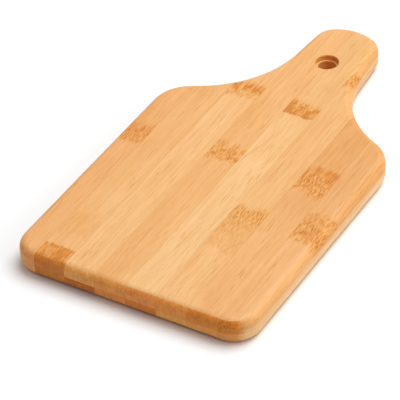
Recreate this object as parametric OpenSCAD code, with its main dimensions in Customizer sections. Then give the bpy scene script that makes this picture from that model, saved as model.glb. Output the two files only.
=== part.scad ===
// Bamboo cutting board with a handle.
// Two plies of flat bamboo strips, all running lengthwise, are glued edge to edge and
// face to face. The panel is then cut to its outline, rounded over and drilled for hanging.
// The origin is on the resting face, midway between the front edge and the handle's end.
// +Y runs to the handle's end and +Z is up, towards the cutting face.

/* [Board] */
// Width of the board
board_w = 155; // [145:1:220]
// Length from the front edge to where the shoulders begin
side_len = 158.4; // [60:0.5:300]
// Radius of the two front corners
corner_r = 16.7; // [7:0.1:40]

/* [Plies] */
// Thickness of the top ply, which is the cutting face
top_ply_t = 8.25; // [6.5:0.05:12]
// Thickness of the base ply, which is the resting face
base_ply_t = 8.25; // [6.5:0.05:12]
// Width of a bamboo strip
strip_w = 20; // [14:0.5:30]

/* [Shoulders and neck] */
// Radius of each shoulder
shoulder_r = 24.7; // [8:0.1:32]
// Angle that each shoulder turns through
shoulder_turn = 61.8; // [50:0.1:65]
// Radius of the hollow neck on each side of the handle
neck_r = 66.5; // [40:0.5:80]

/* [Handle] */
// Width of the handle where the neck ends
handle_w = 46.3; // [34:0.1:56]
// Length of the handle's straight sides
handle_len = 24; // [10:0.1:80]
// Angle by which each straight side draws in towards the handle's end
handle_taper = 4.6; // [0:0.1:6]
// Radius of the two corners of the handle's end
handle_corner_r = 14.3; // [7:0.1:16]
// Radius of the shallow arc between those corners
handle_end_r = 28.8; // [26:0.1:60]

/* [Hanging hole] */
// Diameter of the hole that goes right through
hole_d = 11.5; // [6:0.1:14]
// Diameter of the recess round the hole in the cutting face
recess_d = 14.4; // [14.1:0.1:22]
// Depth of that recess
recess_depth = 3.4; // [1:0.1:4.4]
// Distance from the handle's end to the middle of the hole
hole_inset = 39.5; // [18:0.1:60]

/* [Edges] */
// Radius rounded over all round the cutting face
top_round = 5.2; // [0.5:0.1:6.4]
// Radius rounded over all round the resting face
base_round = 5.9; // [0.5:0.1:6.4]

/* [Hidden] */
$fn = 96;
// How far every cut runs past the stock
overrun = 1;
half_w = board_w / 2;
// The outermost strip keeps up to this share of a strip as extra width
leftover_share = 0.25;
strips_per_side = max(1, ceil(half_w / strip_w - leftover_share));
strip_count = 2 * strips_per_side;

// The right half of the outline, walked from the front edge to the handle's end, is made of
// turns round these centres and of straights that join them
function toward(angle) = [cos(angle), sin(angle)];
function along(angle) = [-sin(angle), cos(angle)];
slope_len = (half_w - handle_w / 2 - shoulder_r * (1 - cos(shoulder_turn))
    - neck_r * (cos(handle_taper) - cos(shoulder_turn))) / sin(shoulder_turn);
handle_end_half_w = handle_w / 2 - handle_len * sin(handle_taper);
end_turn = acos((handle_end_half_w - handle_corner_r * cos(handle_taper))
    / (handle_end_r - handle_corner_r));
board_len = side_len + shoulder_r * sin(shoulder_turn) + slope_len * cos(shoulder_turn)
    + neck_r * (sin(shoulder_turn) - sin(handle_taper)) + handle_len * cos(handle_taper)
    + handle_corner_r * (sin(end_turn) - sin(handle_taper)) + handle_end_r * (1 - sin(end_turn));
front_y = -board_len / 2;

corner_centre = [half_w - corner_r, front_y + corner_r];
shoulder_centre = [half_w - shoulder_r, front_y + side_len];
shoulder_end = shoulder_centre + shoulder_r * toward(shoulder_turn);
neck_start = shoulder_end + slope_len * along(shoulder_turn);
neck_centre = neck_start + neck_r * toward(shoulder_turn);
neck_end = neck_centre - neck_r * toward(handle_taper);
handle_corner_start = neck_end + handle_len * along(handle_taper);
handle_corner_centre = handle_corner_start - handle_corner_r * toward(handle_taper);
end_centre = [0, board_len / 2 - handle_end_r];
hole_centre = [0, board_len / 2 - hole_inset];

board_t = base_ply_t + top_ply_t;

// Strip tones from the left edge of the board to the right, as the photograph shows them
top_tones = ["#f0b06e", "#f2b775", "#f4bb7b", "#f1b572", "#f5c182", "#f2b978", "#f0b372", "#efb272"];
base_tones = ["#efb880", "#e4a868", "#e8ae70", "#eab274", "#e4aa6c", "#f0ba80", "#f2be86", "#f5c690"];
function tone(tones, i) = tones[(i - 1) % len(tones)];

PLIES = ["top", "base"];

// Strip i, counted from the board's left edge: the left strips mirror the right ones
module on_its_side(i) {
    if (i <= strips_per_side) mirror([1, 0, 0]) children();
    else children();
}
function place_outwards(i) = i <= strips_per_side ? strips_per_side + 1 - i : i - strips_per_side;

// The turns of the outline right of the centre line, in steps of at most this angle
turn_step = 4;
// Steps in which a round-over goes from the wall to the face
round_steps = 5;
// Each turn holds its centre, its radius, the angles where it starts and ends, 1 where it bends
// round the board or -1 where it hollows it, and its first step, which is 1 where it runs
// straight on from the turn before
TURNS = [
    [corner_centre, corner_r, -90, 0, 1, 0],
    [shoulder_centre, shoulder_r, 0, shoulder_turn, 1, 0],
    [neck_centre, neck_r, 180 + shoulder_turn, 180 + handle_taper, -1, 0],
    [handle_corner_centre, handle_corner_r, handle_taper, end_turn, 1, 0],
    [end_centre, handle_end_r, end_turn, 180 - end_turn, 1, 1]
];

// The outline drawn in by an inset. It starts and ends just left of the centre line
function turn_points(turn, inset) =
    let (sweep = turn[3] - turn[2], steps = ceil(abs(sweep) / turn_step), r = turn[1] - turn[4] * inset)
    [for (s = [turn[5] : steps]) turn[0] + r * toward(turn[2] + sweep * s / steps)];
function outline_points(inset) = concat(
    [[-overrun, front_y + inset]],
    [for (turn = TURNS) for (p = turn_points(turn, inset)) p]
);

// Where the front edge and the far edge of a drawn-in outline lie at a given x
front_count = ceil(90 / turn_step) + 2;
function front_at(x, points) = lookup(x, [for (i = [0 : front_count - 1]) points[i]]);
function far_at(x, points) = lookup(x, [for (i = [front_count : len(points) - 1]) points[i]]);

// Strip k, counted outwards from the centre line, cut from the outline drawn in by an inset. It
// keeps the outline's own points that stay between the strip's joints at every inset up to most
function strip_section(k, inset, most) =
    let (
        inner_x = (k - 1) * strip_w,
        outer_x = k == strips_per_side ? board_w : k * strip_w,
        trimmed = k == strips_per_side ? [] : [outer_x],
        wall = outline_points(0),
        face = outline_points(most),
        p = outline_points(inset),
        kept = [for (i = [0 : len(p) - 1])
            if (min(wall[i].x, face[i].x) > inner_x && max(wall[i].x, face[i].x) < outer_x) i]
    )
    concat(
        [[inner_x, front_at(inner_x, p)]],
        [for (i = kept) if (i < front_count) p[i]],
        [for (x = trimmed) [x, front_at(x, p)]],
        [for (x = trimmed) [x, far_at(x, p)]],
        [for (i = kept) if (i >= front_count) p[i]],
        [[inner_x, far_at(inner_x, p)]]
    );

// Strip k of a ply of thickness t, from its glue joint at z = 0 up to its face, rounded over
// there by r. Its levels are the joint, the start of the round-over and each step of that
module rounded_strip(k, t, r) {
    levels = concat(
        [[0, 0]],
        [for (s = [0 : round_steps]) let (a = 90 * s / round_steps) [r * (1 - cos(a)), t - r + r * sin(a)]]
    );
    sections = [for (level = levels) strip_section(k, level[0], r)];
    count = len(sections[0]);
    last = (len(levels) - 1) * count;
    polyhedron(
        points = [for (l = [0 : len(levels) - 1]) for (p = sections[l]) [p.x, p.y, levels[l][1]]],
        faces = concat(
            [[for (i = [0 : count - 1]) i]],
            [[for (i = [count - 1 : -1 : 0]) last + i]],
            [for (low = [0 : count : last - count]) for (i = [0 : count - 1]) let (next = (i + 1) % count)
                [low + i, low + count + i, low + count + next, low + next]]
        )
    );
}

module hanging_hole() {
    translate([hole_centre.x, hole_centre.y, -overrun]) cylinder(d = hole_d, h = board_t + 2 * overrun);
    translate([hole_centre.x, hole_centre.y, board_t - recess_depth])
        cylinder(d = recess_d, h = recess_depth + overrun);
}

module top_strip(i) {
    color(tone(top_tones, i)) on_its_side(i) difference() {
        translate([0, 0, base_ply_t]) rounded_strip(place_outwards(i), top_ply_t, top_round);
        hanging_hole();
    }
}

module base_strip(i) {
    color(tone(base_tones, i)) on_its_side(i) difference() {
        translate([0, 0, base_ply_t]) mirror([0, 0, 1])
            rounded_strip(place_outwards(i), base_ply_t, base_round);
        hanging_hole();
    }
}

for (i = [1 : strip_count]) {
    top_strip(i);
    base_strip(i);
}
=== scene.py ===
import math

import bmesh
import bpy
from bpy.props import FloatProperty, FloatVectorProperty, IntProperty, PointerProperty
from mathutils import Matrix, Vector


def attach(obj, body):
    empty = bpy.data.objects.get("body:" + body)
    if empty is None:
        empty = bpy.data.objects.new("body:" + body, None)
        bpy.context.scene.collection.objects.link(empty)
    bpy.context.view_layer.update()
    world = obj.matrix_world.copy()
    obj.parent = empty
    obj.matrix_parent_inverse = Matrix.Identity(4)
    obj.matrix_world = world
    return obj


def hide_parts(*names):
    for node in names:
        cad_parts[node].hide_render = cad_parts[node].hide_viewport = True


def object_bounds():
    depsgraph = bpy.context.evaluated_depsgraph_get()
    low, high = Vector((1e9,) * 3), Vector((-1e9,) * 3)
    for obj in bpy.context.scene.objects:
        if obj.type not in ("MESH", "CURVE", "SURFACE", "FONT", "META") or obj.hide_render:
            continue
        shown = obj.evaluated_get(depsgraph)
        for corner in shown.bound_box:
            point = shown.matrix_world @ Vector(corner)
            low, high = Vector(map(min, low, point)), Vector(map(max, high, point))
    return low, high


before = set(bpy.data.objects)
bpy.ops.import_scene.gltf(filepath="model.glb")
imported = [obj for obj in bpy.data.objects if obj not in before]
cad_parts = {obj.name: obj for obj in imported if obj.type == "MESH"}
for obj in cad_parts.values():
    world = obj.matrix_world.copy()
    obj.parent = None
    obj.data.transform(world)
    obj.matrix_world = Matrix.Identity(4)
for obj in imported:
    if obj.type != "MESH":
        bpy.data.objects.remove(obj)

bl_info = {
    "name": "Bamboo cutting board",
    "version": (1, 0, 0),
    "blender": (4, 5, 0),
    "location": "3D View > Sidebar > Board",
    "description": "Builds a bamboo cutting board from glued strips in two plies",
    "category": "Object",
}

# The CAD model's box, which gives the board's width, length and thickness
CAD_LOW, CAD_HIGH = [list(corner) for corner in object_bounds()]
BOARD_W = CAD_HIGH[0] - CAD_LOW[0]
BOARD_LEN = CAD_HIGH[1] - CAD_LOW[1]
BOARD_T = CAD_HIGH[2] - CAD_LOW[2]
STRIP_COUNT = sum(name.startswith("top_strip_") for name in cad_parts)
MM = 0.001


def linear(shade):
    """A hex colour as the linear values that Blender uses."""
    parts = [int(shade[i : i + 2], 16) / 255 for i in (1, 3, 5)]
    return tuple(p / 12.92 if p <= 0.04045 else ((p + 0.055) / 1.055) ** 2.4 for p in parts)


def tinted(colour, red, green, blue):
    """A linear colour with its three parts multiplied."""
    return tuple(min(c * k, 1.0) for c, k in zip(colour, (red, green, blue)))


# What a user may change


def length(name, description, default):
    return FloatProperty(name=name, description=description, default=default, min=0.0, unit="LENGTH", precision=5)


def angle(name, description, degrees):
    return FloatProperty(name=name, description=description, default=math.radians(degrees), subtype="ANGLE")


def swatch(name, description, shade):
    return FloatVectorProperty(
        name=name, description=description, default=linear(shade), size=3, min=0.0, max=1.0, subtype="COLOR"
    )


class BoardSizes(bpy.types.PropertyGroup):
    """Sizes of the board, in the same named lengths as its construction."""

    side_length: length("Side length", "Front edge to where the shoulders begin", 0.1584)
    corner_radius: length("Corner radius", "Radius of the two front corners", 0.0167)
    shoulder_radius: length("Shoulder radius", "Radius of each shoulder", 0.0247)
    shoulder_turn: angle("Shoulder turn", "Angle that each shoulder turns through", 61.8)
    neck_radius: length("Neck radius", "Radius of the hollow on each side of the handle", 0.0665)
    handle_width: length("Handle width", "Width of the handle where the neck ends", 0.0463)
    handle_length: length("Handle length", "Length of the handle's straight sides", 0.024)
    handle_taper: angle("Handle taper", "Angle by which each straight side draws in", 4.6)
    handle_corner_radius: length("Handle corner radius", "Radius of the handle's two corners", 0.0143)
    handle_end_radius: length("Handle end radius", "Radius of the shallow arc at the handle's end", 0.0288)
    hole_inset: length("Hole inset", "Handle's end to the middle of the hanging hole", 0.0395)
    hole_diameter: length("Hole diameter", "Diameter of the hole that goes right through", 0.0115)
    recess_diameter: length("Recess diameter", "Diameter of the recess in the cutting face", 0.0144)
    recess_depth: length("Recess depth", "Depth of the recess in the cutting face", 0.0034)
    top_round: length("Top edge radius", "Radius rounded over round the cutting face", 0.0052)
    base_round: length("Lower edge radius", "Radius rounded over round the resting face", 0.0059)
    rim_softness: length("Rim softness", "How far the sanded rims of the hole are eased", 0.0003)
    strip_width: length("Strip width", "Width of a bamboo strip", 0.020)
    ply_thickness: length("Ply thickness", "Thickness of each of the two plies", BOARD_T / 2)
    turn_steps: IntProperty(name="Steps in a right angle", description="Fineness of the turns", default=60, min=8)
    round_steps: IntProperty(name="Steps in an edge", description="Fineness of the rounded edges", default=10, min=2)


# Each strip's tone along its sides and on its cut end, from the board's left edge to its right
SHADES = {
    ("top", "side"): ["#f0b06e", "#f2b775", "#f4bb7b", "#f1b572", "#f5c182", "#f2b978", "#f0b372", "#efb272"],
    ("top", "end"): ["#f6a259", "#da802a", "#fcaa56", "#f9a049", "#f89746", "#f6993f", "#e5882a", "#de841d"],
    ("base", "side"): ["#efb880", "#e4a868", "#e8ae70", "#eab274", "#e4aa6c", "#f0ba80", "#f2be86", "#f9ca91"],
    ("base", "end"): ["#ffa65c", "#d78126", "#c96b09", "#ec9139", "#de7e25", "#fca84f", "#fca450", "#ec9a4f"],
}


class StripTones(bpy.types.PropertyGroup):
    """Colour of every strip, counted from the board's left edge."""

    __annotations__ = {
        f"{ply}_{part}_{i}": swatch(f"{ply.title()} {part} {i}", f"Strip {i} of the {ply} ply: {part}", shade)
        for (ply, part), shades in SHADES.items()
        for i, shade in enumerate(shades, 1)
    }


class StudioLook(bpy.types.PropertyGroup):
    """The floor and the lights."""

    floor: swatch("Floor", "Colour of the floor", "#fcfeff")
    floor_lift: FloatProperty(name="Floor lift", description="How much lighter the floor is seen", default=1.075)
    sky: FloatProperty(name="Fill", description="Level of the even light from all round", default=0.30, min=0.0)
    key: FloatProperty(name="Key", description="Power of the lamp overhead", default=45.5, min=0.0, unit="POWER")
    side: FloatProperty(name="Side", description="Power of the lamp on the right", default=9.5, min=0.0, unit="POWER")


# The outline


def toward(turn):
    """The unit vector at an angle from +X."""
    return Vector((math.cos(turn), math.sin(turn)))


class Outline:
    """The right half of the outline, as turns joined by straights, from the front edge to the handle's end."""

    def __init__(self, sizes):
        half_w, half_len = BOARD_W / 2, BOARD_LEN / 2
        turn, taper = sizes.shoulder_turn, sizes.handle_taper
        self.front_y = -half_len
        self.steps = sizes.turn_steps
        corner = Vector((half_w - sizes.corner_radius, self.front_y + sizes.corner_radius))
        shoulder = Vector((half_w - sizes.shoulder_radius, self.front_y + sizes.side_length))
        across = half_w - sizes.handle_width / 2 - sizes.shoulder_radius * (1 - math.cos(turn))
        slope = (across - sizes.neck_radius * (math.cos(taper) - math.cos(turn))) / math.sin(turn)
        slope_end = shoulder + sizes.shoulder_radius * toward(turn) + slope * toward(turn + math.pi / 2)
        neck = slope_end + sizes.neck_radius * toward(turn)
        handle = neck - sizes.neck_radius * toward(taper) + sizes.handle_length * toward(taper + math.pi / 2)
        handle_corner = handle - sizes.handle_corner_radius * toward(taper)
        end = Vector((0, half_len - sizes.handle_end_radius))
        end_turn = math.acos(handle_corner.x / (sizes.handle_end_radius - sizes.handle_corner_radius))
        # Centre, radius, angle at the start, angle at the end, and 1 round the board or -1 into it
        self.turns = [
            (corner, sizes.corner_radius, -math.pi / 2, 0, 1),
            (shoulder, sizes.shoulder_radius, 0, turn, 1),
            (neck, sizes.neck_radius, math.pi + turn, math.pi + taper, -1),
            (handle_corner, sizes.handle_corner_radius, taper, end_turn, 1),
            (end, sizes.handle_end_radius, end_turn, math.pi / 2, 1),
        ]

    def points(self, inset):
        """The whole outline drawn in by an inset, anticlockwise from the middle of the front edge."""
        right = []
        for centre, radius, start, stop, bend in self.turns:
            steps = max(2, math.ceil(abs(stop - start) / (math.pi / 2) * self.steps))
            for k in range(steps + 1):
                p = centre + (radius - bend * inset) * toward(start + (stop - start) * k / steps)
                if not right or (p - right[-1]).length > 1e-6:
                    right.append(p)
        right[-1].x = 0
        left = [Vector((-p.x, p.y)) for p in reversed(right[:-1])]
        return [Vector((0, self.front_y + inset))] + right + left


def ply_stock(name, outline, levels):
    """A closed mesh of the whole ply. Each level gives an inset and a height, from the bottom up."""
    mesh = bpy.data.meshes.new(name)
    shell = bmesh.new()
    rings = [[shell.verts.new((p.x, p.y, z)) for p in outline.points(inset)] for inset, z in levels]
    count = len(rings[0])
    for low, high in zip(rings, rings[1:]):
        for i in range(count):
            j = (i + 1) % count
            shell.faces.new((low[i], low[j], high[j], high[i]))
    shell.faces.new(list(reversed(rings[0])))
    shell.faces.new(rings[-1])
    shell.to_mesh(mesh)
    shell.free()
    stock = bpy.data.objects.new(name, mesh)
    bpy.context.scene.collection.objects.link(stock)
    return stock


# The strips, cut from a ply by one node tree


def add_nodes(tree, kind, settings=None, values=None):
    """A new node with its settings, then the values or links of its named inputs."""
    made = tree.nodes.new(kind)
    for key, value in (settings or {}).items():
        setattr(made, key, value)
    for key, value in (values or {}).items():
        for each in value if isinstance(value, list) else [value]:
            if isinstance(each, bpy.types.NodeSocket):
                tree.links.new(each, made.inputs[key])
            else:
                made.inputs[key].default_value = each
    return made


def strip_tree():
    """Cuts one strip out of its ply, drills the hanging hole through it and eases the hole's rims."""
    tree = bpy.data.node_groups.new("Strip from ply", "GeometryNodeTree")
    face = tree.interface
    face.new_socket("Ply", in_out="INPUT", socket_type="NodeSocketGeometry")
    for name in ("Middle", "Width", "Reach", "Hole middle", "Hole diameter", "Recess diameter", "Recess floor",
                 "Board thickness", "Rim softness"):
        face.new_socket(name, in_out="INPUT", socket_type="NodeSocketFloat")
    face.new_socket("Finish", in_out="INPUT", socket_type="NodeSocketMaterial")
    face.new_socket("Strip", in_out="OUTPUT", socket_type="NodeSocketGeometry")
    given = tree.nodes.new("NodeGroupInput").outputs

    def math_node(operation, a, b):
        made = add_nodes(tree, "ShaderNodeMath", {"operation": operation})
        for socket, value in zip(made.inputs, (a, b)):
            if isinstance(value, bpy.types.NodeSocket):
                tree.links.new(value, socket)
            else:
                socket.default_value = value
        return made.outputs[0]

    def place(geometry, x, y, z):
        spot = add_nodes(tree, "ShaderNodeCombineXYZ", None, {"X": x, "Y": y, "Z": z}).outputs[0]
        moved = add_nodes(tree, "GeometryNodeTransform", None, {"Geometry": geometry, "Translation": spot})
        return moved.outputs["Geometry"]

    def drill(diameter, base, reach):
        bit = add_nodes(
            tree, "GeometryNodeMeshCylinder", {"fill_type": "NGON"},
            {"Vertices": 128, "Radius": math_node("MULTIPLY", diameter, 0.5), "Depth": reach},
        )
        return place(bit.outputs["Mesh"], 0.0, given["Hole middle"], math_node("ADD", base, reach / 2))

    def ease(diameter, height, way):
        """A short cone that takes the sharp rim off a hole. Way is 1 for a rim that faces up."""
        soft = given["Rim softness"]
        wide = math_node("ADD", math_node("MULTIPLY", diameter, 0.5), math_node("MULTIPLY", soft, 2.0))
        narrow = math_node("SUBTRACT", math_node("MULTIPLY", diameter, 0.5), soft)
        cone = add_nodes(
            tree, "GeometryNodeMeshCone", {"fill_type": "NGON"},
            {"Vertices": 128, "Radius Top": wide if way > 0 else narrow,
             "Radius Bottom": narrow if way > 0 else wide, "Depth": math_node("MULTIPLY", soft, 3.0)},
        )
        low = math_node("SUBTRACT", height, math_node("MULTIPLY", soft, 2.0 if way > 0 else 1.0))
        return place(cone.outputs["Mesh"], 0.0, given["Hole middle"], low)

    height = math_node("MULTIPLY", given["Board thickness"], 3.0)
    size = add_nodes(tree, "ShaderNodeCombineXYZ", None, {"X": given["Width"], "Y": given["Reach"], "Z": height})
    band = add_nodes(tree, "GeometryNodeMeshCube", None, {"Size": size.outputs[0]})
    band = place(band.outputs["Mesh"], given["Middle"], 0.0, 0.0)
    strip = add_nodes(
        tree, "GeometryNodeMeshBoolean", {"operation": "INTERSECT", "solver": "EXACT"},
        {"Mesh 2": [given["Ply"], band]},
    )
    # Each straight bit has its diameter, its start and its length, which runs well past the board's face
    drills = [
        drill(given["Hole diameter"], -0.01, 0.05),
        drill(given["Recess diameter"], given["Recess floor"], 0.02),
        ease(given["Recess diameter"], given["Board thickness"], 1),
        ease(given["Hole diameter"], 0.0, -1),
    ]
    cut = strip.outputs["Mesh"]
    for bit in drills:
        cut = add_nodes(
            tree, "GeometryNodeMeshBoolean", {"operation": "DIFFERENCE", "solver": "EXACT"},
            {"Mesh 1": cut, "Mesh 2": bit},
        ).outputs["Mesh"]
    real = add_nodes(tree, "GeometryNodeRealizeInstances", None, {"Geometry": cut})
    painted = add_nodes(
        tree, "GeometryNodeSetMaterial", None, {"Geometry": real.outputs["Geometry"], "Material": given["Finish"]}
    )
    tree.links.new(painted.outputs["Geometry"], tree.nodes.new("NodeGroupOutput").inputs["Strip"])
    return tree


def run_tree(piece, tree, values):
    """Gives the piece the tree's result as its plain mesh."""
    maker = piece.modifiers.new("Strip", "NODES")
    maker.node_group = tree
    names = {item.name: item.identifier for item in tree.interface.items_tree if item.in_out == "INPUT"}
    for name, value in values.items():
        maker[names[name]] = value
    made = bpy.data.meshes.new_from_object(piece.evaluated_get(bpy.context.evaluated_depsgraph_get()))
    piece.modifiers.remove(maker)
    piece.data = made


def even_shading(piece, degrees=28):
    """Smooth faces with sharp edges kept, and normals that follow the larger faces."""
    mesh = piece.data
    shell = bmesh.new()
    shell.from_mesh(mesh)
    bmesh.ops.remove_doubles(shell, verts=shell.verts, dist=1e-7)
    bmesh.ops.dissolve_degenerate(shell, edges=shell.edges, dist=1e-7)
    bmesh.ops.recalc_face_normals(shell, faces=shell.faces)
    shell.to_mesh(mesh)
    shell.free()
    mesh.shade_smooth()
    mesh.set_sharp_from_angle(angle=math.radians(degrees))
    weigh = piece.modifiers.new("Even normals", "WEIGHTED_NORMAL")
    weigh.keep_sharp = True
    weigh.weight = 100
    made = bpy.data.meshes.new_from_object(piece.evaluated_get(bpy.context.evaluated_depsgraph_get()))
    piece.modifiers.remove(weigh)
    piece.data = made


def cut_strips(context, ply, levels):
    """Makes the strips of one ply, each in place of its CAD node."""
    sizes, tones = context.scene.board_sizes, context.scene.board_tones
    outline = Outline(sizes)
    stock = ply_stock(f"{ply}_stock", outline, levels)
    tree = bpy.data.node_groups.get("Strip from ply") or strip_tree()
    for i in range(1, STRIP_COUNT + 1):
        middle = (i - (STRIP_COUNT + 1) / 2) * sizes.strip_width
        piece = bpy.data.objects.new(f"bamboo_{ply}_strip_{i}", stock.data.copy())
        context.scene.collection.objects.link(piece)
        finish = bamboo(f"Bamboo {ply} {i}", Strip(ply, i, middle, sizes, tones))
        run_tree(piece, tree, {
            "Middle": middle,
            "Width": sizes.strip_width,
            "Reach": BOARD_LEN * 1.2,
            "Hole middle": BOARD_LEN / 2 - sizes.hole_inset,
            "Hole diameter": sizes.hole_diameter,
            "Recess diameter": sizes.recess_diameter,
            "Recess floor": BOARD_T - sizes.recess_depth,
            "Board thickness": BOARD_T,
            "Rim softness": sizes.rim_softness,
            "Finish": finish,
        })
        even_shading(piece)
        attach(piece, "root")
        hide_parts(f"{ply}_strip_{i}")
    bpy.data.objects.remove(stock)


# Shader maths


class Wire:
    """An output socket that does arithmetic. An expression on wires adds its Math nodes."""

    def __init__(self, shader, socket):
        self.shader = shader
        self.socket = socket

    def math(self, operation, *values, clamp=False):
        return self.shader.node("ShaderNodeMath", {"operation": operation, "use_clamp": clamp}, *values)

    def __add__(self, other):
        return self.math("ADD", self, other)

    __radd__ = __add__

    def __sub__(self, other):
        return self.math("SUBTRACT", self, other)

    def __rsub__(self, other):
        return self.math("SUBTRACT", other, self)

    def __mul__(self, other):
        return self.math("MULTIPLY", self, other)

    def __truediv__(self, other):
        return self.math("DIVIDE", self, other)

    def __abs__(self):
        return self.math("ABSOLUTE", self)

    def clamped(self):
        return self.math("ADD", self, 0.0, clamp=True)

    def larger(self, other):
        return self.math("MAXIMUM", self, other)

    def rise(self, low, high):
        """0 up to low and 1 from high on, smooth between."""
        return self.shader.node("ShaderNodeMapRange", {"interpolation_type": "SMOOTHSTEP"}, self, low, high)

    def fall(self, low, high):
        """1 up to low and 0 from high on."""
        return 1 - self.rise(low, high)


class Shader:
    """A new material and the one way in which its nodes are made."""

    def __init__(self, name):
        self.material = bpy.data.materials.new(name)
        self.material.use_nodes = True
        self.tree = self.material.node_tree
        self.tree.nodes.clear()

    def node(self, kind, settings=None, *values, inputs=None, output=0):
        made = self.tree.nodes.new(kind)
        for key, value in (settings or {}).items():
            setattr(made, key, value)
        given = list(zip([s for s in made.inputs if s.enabled], values))
        given += [(made.inputs[key], value) for key, value in (inputs or {}).items()]
        for socket, value in given:
            if isinstance(value, Wire):
                self.tree.links.new(value.socket, socket)
            elif socket.type == "RGBA":
                socket.default_value = (*value[:3], 1.0)
            else:
                socket.default_value = value
        return Wire(self, [s for s in made.outputs if s.enabled][output])

    def parts(self, vector):
        return [self.node("ShaderNodeSeparateXYZ", None, vector, output=k) for k in range(3)]

    def place(self):
        """x, y and z on the piece, in millimetres."""
        spot = self.node("ShaderNodeTexCoord", output=3)
        grown = self.node("ShaderNodeVectorMath", {"operation": "SCALE"}, spot, inputs={"Scale": 1 / MM})
        return self.parts(grown)

    def facing(self):
        """x, y and z of the surface's normal."""
        return self.parts(self.node("ShaderNodeTexCoord", output=1))

    def far_from(self, x, y):
        """How far along the floor a point is from where x and y are 0."""
        return self.node("ShaderNodeMath", {"operation": "SQRT"}, x * x + y * y)

    def mix(self, factor, a, b, blend="MIX"):
        return self.node("ShaderNodeMix", {"data_type": "RGBA", "blend_type": blend}, factor, a, b)

    def noise(self, x, y, z, detail=2.0, roughness=0.5, distortion=0.0):
        """Noise about 0.5, one cell to a unit of x, y and z."""
        spot = self.node("ShaderNodeCombineXYZ", None, x, y, z)
        return self.node("ShaderNodeTexNoise", None, spot, 1.0, detail, roughness, 2.0, distortion)

    def finish(self, surface):
        end = self.tree.nodes.new("ShaderNodeOutputMaterial")
        self.tree.links.new(surface.socket, end.inputs["Surface"])
        return self.material


# Bamboo

# Knuckles of the top strips as the photograph shows them, in bands: where each starts and ends, in
# millimetres from the front edge, how orange it is, how strongly its broken fibres show, which of
# its ends is crisp, if any, and "inner" where it keeps to the strip's left edge
TOP_KNUCKLES = {
    1: [(124, 133, 0.55, 0.2), (115, 128, 0.30, 0.8)],
    2: [(-6, 14.0, 0.85, 0.35, "back"), (26, 46, 0.12, 0.1)],
    3: [(188.5, 197, 0.85, 0.3), (182, 191, 0.20, 0.6)],
    4: [(129, 138, 0.25, 0.6), (123, 134, 0.20, 0.9)],
    5: [(180, 190, 1.8, 0.75, "front"), (186, 193, 0.45, 0.8)],
    6: [(79, 92, 0.22, 0.9), (66, 82, 0.15, 0.45), (52, 68, 0.10, 0.3), (219, 236, 0.30, 1.0, "inner")],
    7: [(130, 142, 0.85, 0.25), (119, 134, 0.40, 1.0)],
    8: [(88, 104, 0.22, 0.6), (79, 94, 0.32, 0.9)],
}
# The underside isn't in the photograph, so its knuckles are spread as a panel's usually are
BASE_KNUCKLES = {
    1: [(58, 68, 0.6, 0.2), (50, 62, 0.3, 0.8)],
    2: [(156, 166, 0.8, 0.3), (149, 160, 0.3, 0.9)],
    3: [(96, 110, 0.3, 0.9)],
    4: [(34, 44, 0.7, 0.3), (27, 38, 0.3, 0.9), (232, 246, 0.4, 0.8)],
    5: [(138, 153, 0.5, 0.8)],
    6: [(193, 203, 0.7, 0.3), (186, 197, 0.3, 0.9)],
    7: [(70, 86, 0.4, 0.9)],
}
# Top strips that grow deeper in tone towards the handle: where that starts and ends, and how much
TOP_DEEPENS = {
    2: (60, 120, 0.3), 5: (150, 195, 0.9), 6: (60, 190, 0.4), 7: (60, 140, 1.0), 8: (60, 140, 0.7),
}


class Strip:
    """What the finish of one strip depends on. Lengths are in millimetres."""

    def __init__(self, ply, number, middle, sizes, tones):
        knuckles = {"top": TOP_KNUCKLES, "base": BASE_KNUCKLES}[ply]
        self.knuckles = knuckles.get(number, [])
        self.tone = tuple(getattr(tones, f"{ply}_side_{number}"))
        self.end_tone = tuple(getattr(tones, f"{ply}_end_{number}"))
        self.middle = middle / MM
        self.half_width = sizes.strip_width / MM / 2
        self.front = -BOARD_LEN / MM / 2
        self.joint = sizes.ply_thickness / MM
        self.hole = (BOARD_LEN / 2 - sizes.hole_inset) / MM
        self.on_top = ply == "top"
        # How strongly the cut bundles show on the end: the photograph's right corner is full of them
        self.speckle = 0.9 if self.on_top and number == STRIP_COUNT else 0.28
        self.deepens = TOP_DEEPENS.get(number) if ply == "top" else None
        self.seed = {"top": 0, "base": 40}[ply] + number


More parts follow.
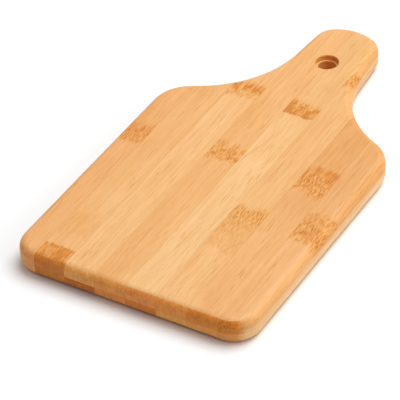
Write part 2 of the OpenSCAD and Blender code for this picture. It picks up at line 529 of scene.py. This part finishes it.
def bamboo(name, strip):
    """Sanded and oiled bamboo: fibres lengthwise, knuckles across, and bundle ends on the end grain."""
    s = Shader(name)
    x, y, z = s.place()
    nx, ny, nz = s.facing()
    seed = strip.seed
    # Each strip is its own piece of cane, so its pattern starts somewhere else
    y_own = y + 173.0 * seed
    swerve = s.noise(x * 0.06 + 7.1 * seed, y_own * 0.018, z * 0.06, detail=1.0) - 0.5
    x_own = x + 61.0 * seed + swerve * 1.6

    broad = s.noise(x_own * 0.14, y_own * 0.004, z * 0.14, detail=1.0) - 0.5
    medium = s.noise(x_own * 0.62, y_own * 0.020, z * 0.62, detail=2.0) - 0.5
    fine = s.noise(x_own * 2.1, y_own * 0.052, z * 2.1, detail=2.0, roughness=0.65) - 0.5
    cloud = s.noise(x_own * 0.10, y_own * 0.035, z * 0.10, detail=2.0) - 0.5
    streak = (0.56 + broad * 0.8 + medium + fine * 1.2 + cloud * 0.8).clamped()
    # Thin dark bundles run far along the strip. Short hairs lie close together in some places
    bundles = s.noise(x_own * 1.15, y_own * 0.020, z * 1.15, detail=3.0, roughness=0.7).rise(0.585, 0.65)
    crowd = s.noise(x_own * 0.17, y_own * 0.016, z * 0.17, detail=1.0).rise(0.40, 0.64)
    hairs = s.noise(x_own * 2.2, y_own * 0.075, z * 2.2, detail=2.0, roughness=0.6).rise(0.56, 0.66)

    tone = strip.tone
    dark = tinted(tone, 0.91, 0.84, 0.69)
    light = tinted(tone, 1.035, 1.085, 1.19)
    colour = s.mix(streak, dark, light)
    colour = s.mix(bundles * 0.56 + hairs * (0.20 + crowd * 0.60), colour, tinted(tone, 0.79, 0.63, 0.40))

    if strip.deepens:
        start, end, amount = strip.deepens
        colour = s.mix((y - strip.front).rise(start, end) * amount, colour, (0.92, 0.85, 0.72), blend="MULTIPLY")

    # Knuckles: an orange patch with soft ragged ends, and the short dashes of broken fibres
    wander = s.noise(x_own * 0.20, y_own * 0.02, z * 0.20, detail=1.0) - 0.5
    ragged = s.noise(x_own * 1.1, y_own * 0.05, z * 1.1, detail=2.0, roughness=0.7) - 0.5
    blotch = s.noise(x_own * 0.21, y_own * 0.10, z * 0.21, detail=2.0).rise(0.38, 0.60)
    marks = s.noise(x_own * 1.7, y_own * 0.23, z * 1.7, detail=2.0, roughness=0.6, distortion=0.08)
    orange = broken = None
    for start, end, warm, grain, *kind in strip.knuckles:
        even = y - strip.front + wander * 4.0 + ragged * 2.5
        torn = y - strip.front + wander * 12.0 + ragged * 15.0
        low = (even - start).rise(-0.7, 0.7) if "front" in kind else (torn - start).rise(-1.6, 1.6)
        high = (end - even).rise(-0.7, 0.7) if "back" in kind else (end - torn).rise(-1.6, 1.6)
        band = low * high
        if "inner" in kind:
            band = band * (x - strip.middle + strip.half_width).fall(3.5, 6.0)
        orange = band * warm if orange is None else orange.larger(band * warm)
        broken = band * grain if broken is None else broken.larger(band * grain)
    if orange is not None:
        colour = s.mix(broken * 0.85, colour, tinted(tone, 0.93, 0.83, 0.48))
        grained = s.noise(x_own * 0.75, y_own * 0.10, z * 0.75, detail=2.0).rise(0.36, 0.60)
        patch = orange * (0.40 + blotch * 0.95)
        orange = patch.clamped()
        orange_tone = s.mix((grained + (patch - 1).clamped()).clamped(), linear("#eea244"), linear("#d07a1e"))
        colour = s.mix(orange, colour, orange_tone)
        colour = s.mix(broken * marks.rise(0.49, 0.57), colour, tinted(tone, 0.66, 0.39, 0.08))
        pale = (1 - marks).rise(0.52, 0.60) * (0.85 - orange * 0.55)
        colour = s.mix(broken * pale, colour, tinted(tone, 1.05, 1.03, 0.90))

    # The long walls: the top strips are deeper towards their outer skin, which faces up
    wall = abs(nz).fall(0.72, 0.97)
    if strip.on_top:
        skin = (z + ragged * 2.0).rise(9.2, 11.2)
        colour = s.mix(wall * skin, colour, (1.0, 0.95, 0.82), blend="MULTIPLY")
        colour = s.mix(wall * (1 - skin), colour, tinted(tone, 1.05, 1.13, 1.27))

    # The walls of the hole take less of the orange
    off_axis = s.far_from(x, y - strip.hole)
    bore = wall * off_axis.fall(8.0, 9.0)

    # End grain: darker, with the cut ends of the bundles as dots and upright streaks
    upright = s.noise(x_own * 1.3, y_own * 0.3, z * 0.16, detail=2.0) - 0.5
    ends = abs(ny) / (abs(nx) + abs(ny) + 0.001) + (ragged + swerve) * 0.25
    end_grain = ends.rise(0.38, 0.60) * (abs(nz) + upright * 0.12).fall(0.81, 0.87) * (1 - bore * 0.3)
    cells = s.node(
        "ShaderNodeTexVoronoi", {"feature": "F1", "distance": "EUCLIDEAN"},
        s.node("ShaderNodeCombineXYZ", None, x_own * 0.9, y_own * 0.03, z * 0.9), 1.0,
    )
    dots = cells.fall(0.20, 0.46)
    end_tone = strip.end_tone
    patchy = s.noise(x_own * 0.26, y_own * 0.2, z * 0.30, detail=2.0) - 0.5
    lightness = (0.5 + upright + patchy * 1.4).clamped()
    end_colour = s.mix(lightness, tinted(end_tone, 0.80, 0.72, 0.58), tinted(end_tone, 1.13, 1.20, 1.34))
    end_colour = s.mix(dots * strip.speckle, end_colour, tinted(end_tone, 0.62, 0.47, 0.32))
    colour = s.mix(end_grain, colour, end_colour)
    colour = s.mix(bore, colour, (0.95, 0.95, 0.75), blend="MULTIPLY")

    # Hairline glue joints: between strips on every face, and between plies on the walls
    side_gap = strip.half_width - abs(x - strip.middle)
    ply_gap = abs(z - strip.joint)
    joint = side_gap.fall(0.04, 0.16).larger(ply_gap.fall(0.05, 0.18) * abs(nz).fall(0.5, 0.9))
    colour = s.mix(joint * 0.40, colour, tinted(tone, 0.50, 0.34, 0.18))

    roughness = 0.46 + (0.5 - streak) * 0.10 + hairs * 0.10 + end_grain * 0.12
    height = fine * 0.5 + bundles * -0.4 + hairs * -0.5 + joint * -0.6
    bump = s.node("ShaderNodeBump", None, inputs={"Strength": 0.35, "Distance": 0.00006, "Height": height})
    surface = s.node("ShaderNodeBsdfPrincipled", None, inputs={
        "Base Color": colour, "Roughness": roughness, "Normal": bump, "IOR": 1.45, "Specular IOR Level": 0.45,
    })
    return s.finish(surface)


# Operators


def round_levels(sizes, radius):
    """Inset and height below the face, from the start of the round-over to the face."""
    steps = sizes.round_steps
    turns = [math.pi / 2 * k / steps for k in range(steps + 1)]
    return [(radius * (1 - math.cos(a)), radius * (1 - math.sin(a))) for a in turns]


class BOARD_OT_stage(bpy.types.Operator):
    """Set up the camera, the floor and the lights"""

    bl_idname = "board.stage"
    bl_label = "Stage"

    def execute(self, context):
        look = context.scene.board_look
        # Where the photograph was taken from: round from the front edge, up, its slight roll, and how far
        azimuth, elevation, roll = math.radians(32.778), math.radians(38.925), math.radians(-3.557)
        target, far = Vector((-0.01228, -0.03556, 0.0)), 1.5121
        back = Vector((
            math.sin(azimuth) * math.cos(elevation), -math.cos(azimuth) * math.cos(elevation), math.sin(elevation)
        ))
        right = (-back).cross(Vector((0, 0, 1))).normalized()
        up = right.cross(-back)
        side = math.cos(roll) * right + math.sin(roll) * up
        top = math.cos(roll) * up - math.sin(roll) * right
        camera = bpy.data.objects.new("camera", bpy.data.cameras.new("camera"))
        camera.data.lens = 233.0
        camera.data.sensor_width = 36.0
        camera.data.clip_end = 50.0
        turn = Matrix((side, top, back)).transposed().to_4x4()
        camera.matrix_world = Matrix.Translation(target + far * back) @ turn
        context.scene.collection.objects.link(camera)
        context.scene.camera = camera
        self.light(context, look)
        self.floor(context, look)
        return {"FINISHED"}

    def light(self, context, look):
        # A wide lamp overhead, a little behind the board, and a weaker one low on its right
        for name, way, far, size, power in (
            ("key", Vector((0.15, 0.34, 0.93)), 2.4, 2.1, look.key),
            ("side", Vector((0.90, 0.12, 0.42)), 1.8, 1.6, look.side),
        ):
            lamp = bpy.data.lights.new(name, "AREA")
            lamp.shape = "DISK"
            lamp.size = size
            lamp.energy = power
            holder = bpy.data.objects.new(name, lamp)
            way.normalize()
            holder.matrix_world = Matrix.Translation(far * way) @ way.to_track_quat("Z", "Y").to_matrix().to_4x4()
            context.scene.collection.objects.link(holder)
        world = bpy.data.worlds.new("studio")
        world.use_nodes = True
        tree = world.node_tree
        tree.nodes.clear()
        path = tree.nodes.new("ShaderNodeLightPath").outputs

        def larger(a, b):
            made = add_nodes(tree, "ShaderNodeMath", {"operation": "MAXIMUM"})
            tree.links.new(a, made.inputs[0])
            tree.links.new(b, made.inputs[1])
            return made.outputs[0]

        seen = larger(larger(path["Is Camera Ray"], path["Is Glossy Ray"]), path["Is Transmission Ray"])
        white = add_nodes(tree, "ShaderNodeBackground", None, {"Color": (1, 1, 1, 1), "Strength": 1.0})
        fill = add_nodes(tree, "ShaderNodeBackground", None, {"Color": (1, 1, 1, 1), "Strength": look.sky})
        both = add_nodes(tree, "ShaderNodeMixShader", None, {"Fac": seen})
        tree.links.new(fill.outputs[0], both.inputs[1])
        tree.links.new(white.outputs[0], both.inputs[2])
        tree.links.new(both.outputs[0], tree.nodes.new("ShaderNodeOutputWorld").inputs["Surface"])
        context.scene.world = world

    def floor(self, context, look):
        mesh = bpy.data.meshes.new("floor")
        reach = 12.0
        mesh.from_pydata(
            [(-reach, -reach, 0), (reach, -reach, 0), (reach, reach, 0), (-reach, reach, 0)], [], [(0, 1, 2, 3)]
        )
        floor = bpy.data.objects.new("floor", mesh)
        context.scene.collection.objects.link(floor)
        s = Shader("Floor")
        path = s.node("ShaderNodeLightPath")
        diffuse = s.node("ShaderNodeBsdfDiffuse", None, (0.86, 0.87, 0.88))
        # The camera sees the floor a little lighter than it is, so that it's white where no shadow falls
        lifted = s.node("ShaderNodeBsdfDiffuse", None, [shade * look.floor_lift for shade in look.floor])
        # Under the rounded edge the camera sees a painted contact shadow: where ambient occlusion finds the board
        # close, the floor is mixed towards a nearly black diffuse
        dark = s.node("ShaderNodeBsdfDiffuse", None, (0.02, 0.03, 0.04))
        free = s.node("ShaderNodeAmbientOcclusion", None, inputs={"Distance": 4 * MM}, output=1)
        floor_with_painted_shadow = s.node("ShaderNodeMixShader", None, (free * 1.6 + 0.27).clamped(), dark, lifted)
        # Far from the board, where the lamp no longer reaches, it's an even white
        x, y, _ = s.place()
        away = s.far_from(x, y)
        white = s.node("ShaderNodeEmission", None, (1, 1, 1), 1.0)
        seen = s.node("ShaderNodeMixShader", None, away.rise(300.0, 800.0), floor_with_painted_shadow, white)
        mesh.materials.append(s.finish(s.node("ShaderNodeMixShader", None, path, diffuse, seen)))


class BOARD_OT_top_strips(bpy.types.Operator):
    """Make the strips of the top ply, rounded over round the cutting face"""

    bl_idname = "board.top_strips"
    bl_label = "Top strips"

    def execute(self, context):
        sizes = context.scene.board_sizes
        rounded = round_levels(sizes, sizes.top_round)
        levels = [(0, sizes.ply_thickness)] + [(inset, BOARD_T - drop) for inset, drop in rounded]
        cut_strips(context, "top", levels)
        return {"FINISHED"}


class BOARD_OT_base_strips(bpy.types.Operator):
    """Make the strips of the base ply, rounded over round the resting face"""

    bl_idname = "board.base_strips"
    bl_label = "Base strips"

    def execute(self, context):
        sizes = context.scene.board_sizes
        rounded = round_levels(sizes, sizes.base_round)
        levels = rounded[::-1] + [(0, sizes.ply_thickness)]
        cut_strips(context, "base", levels)
        return {"FINISHED"}


class BOARD_PT_panel(bpy.types.Panel):
    """The board's operators and sizes"""

    bl_idname = "BOARD_PT_panel"
    bl_label = "Bamboo cutting board"
    bl_space_type = "VIEW_3D"
    bl_region_type = "UI"
    bl_category = "Board"

    def draw(self, context):
        for operator in OPERATORS:
            self.layout.operator(operator.bl_idname)
        for group in (context.scene.board_sizes, context.scene.board_tones, context.scene.board_look):
            box = self.layout.box()
            for name in type(group).__annotations__:
                box.prop(group, name)


OPERATORS = (BOARD_OT_stage, BOARD_OT_top_strips, BOARD_OT_base_strips)
CLASSES = (BoardSizes, StripTones, StudioLook, *OPERATORS, BOARD_PT_panel)


def register():
    for each in CLASSES:
        bpy.utils.register_class(each)
    bpy.types.Scene.board_sizes = PointerProperty(type=BoardSizes)
    bpy.types.Scene.board_tones = PointerProperty(type=StripTones)
    bpy.types.Scene.board_look = PointerProperty(type=StudioLook)


def unregister():
    del bpy.types.Scene.board_look, bpy.types.Scene.board_tones, bpy.types.Scene.board_sizes
    for each in reversed(CLASSES):
        bpy.utils.unregister_class(each)


def main():
    register()
    bpy.context.scene.view_settings.view_transform = "Standard"
    bpy.ops.board.stage()
    bpy.ops.board.top_strips()
    bpy.ops.board.base_strips()


if __name__ == "__main__":
    main()
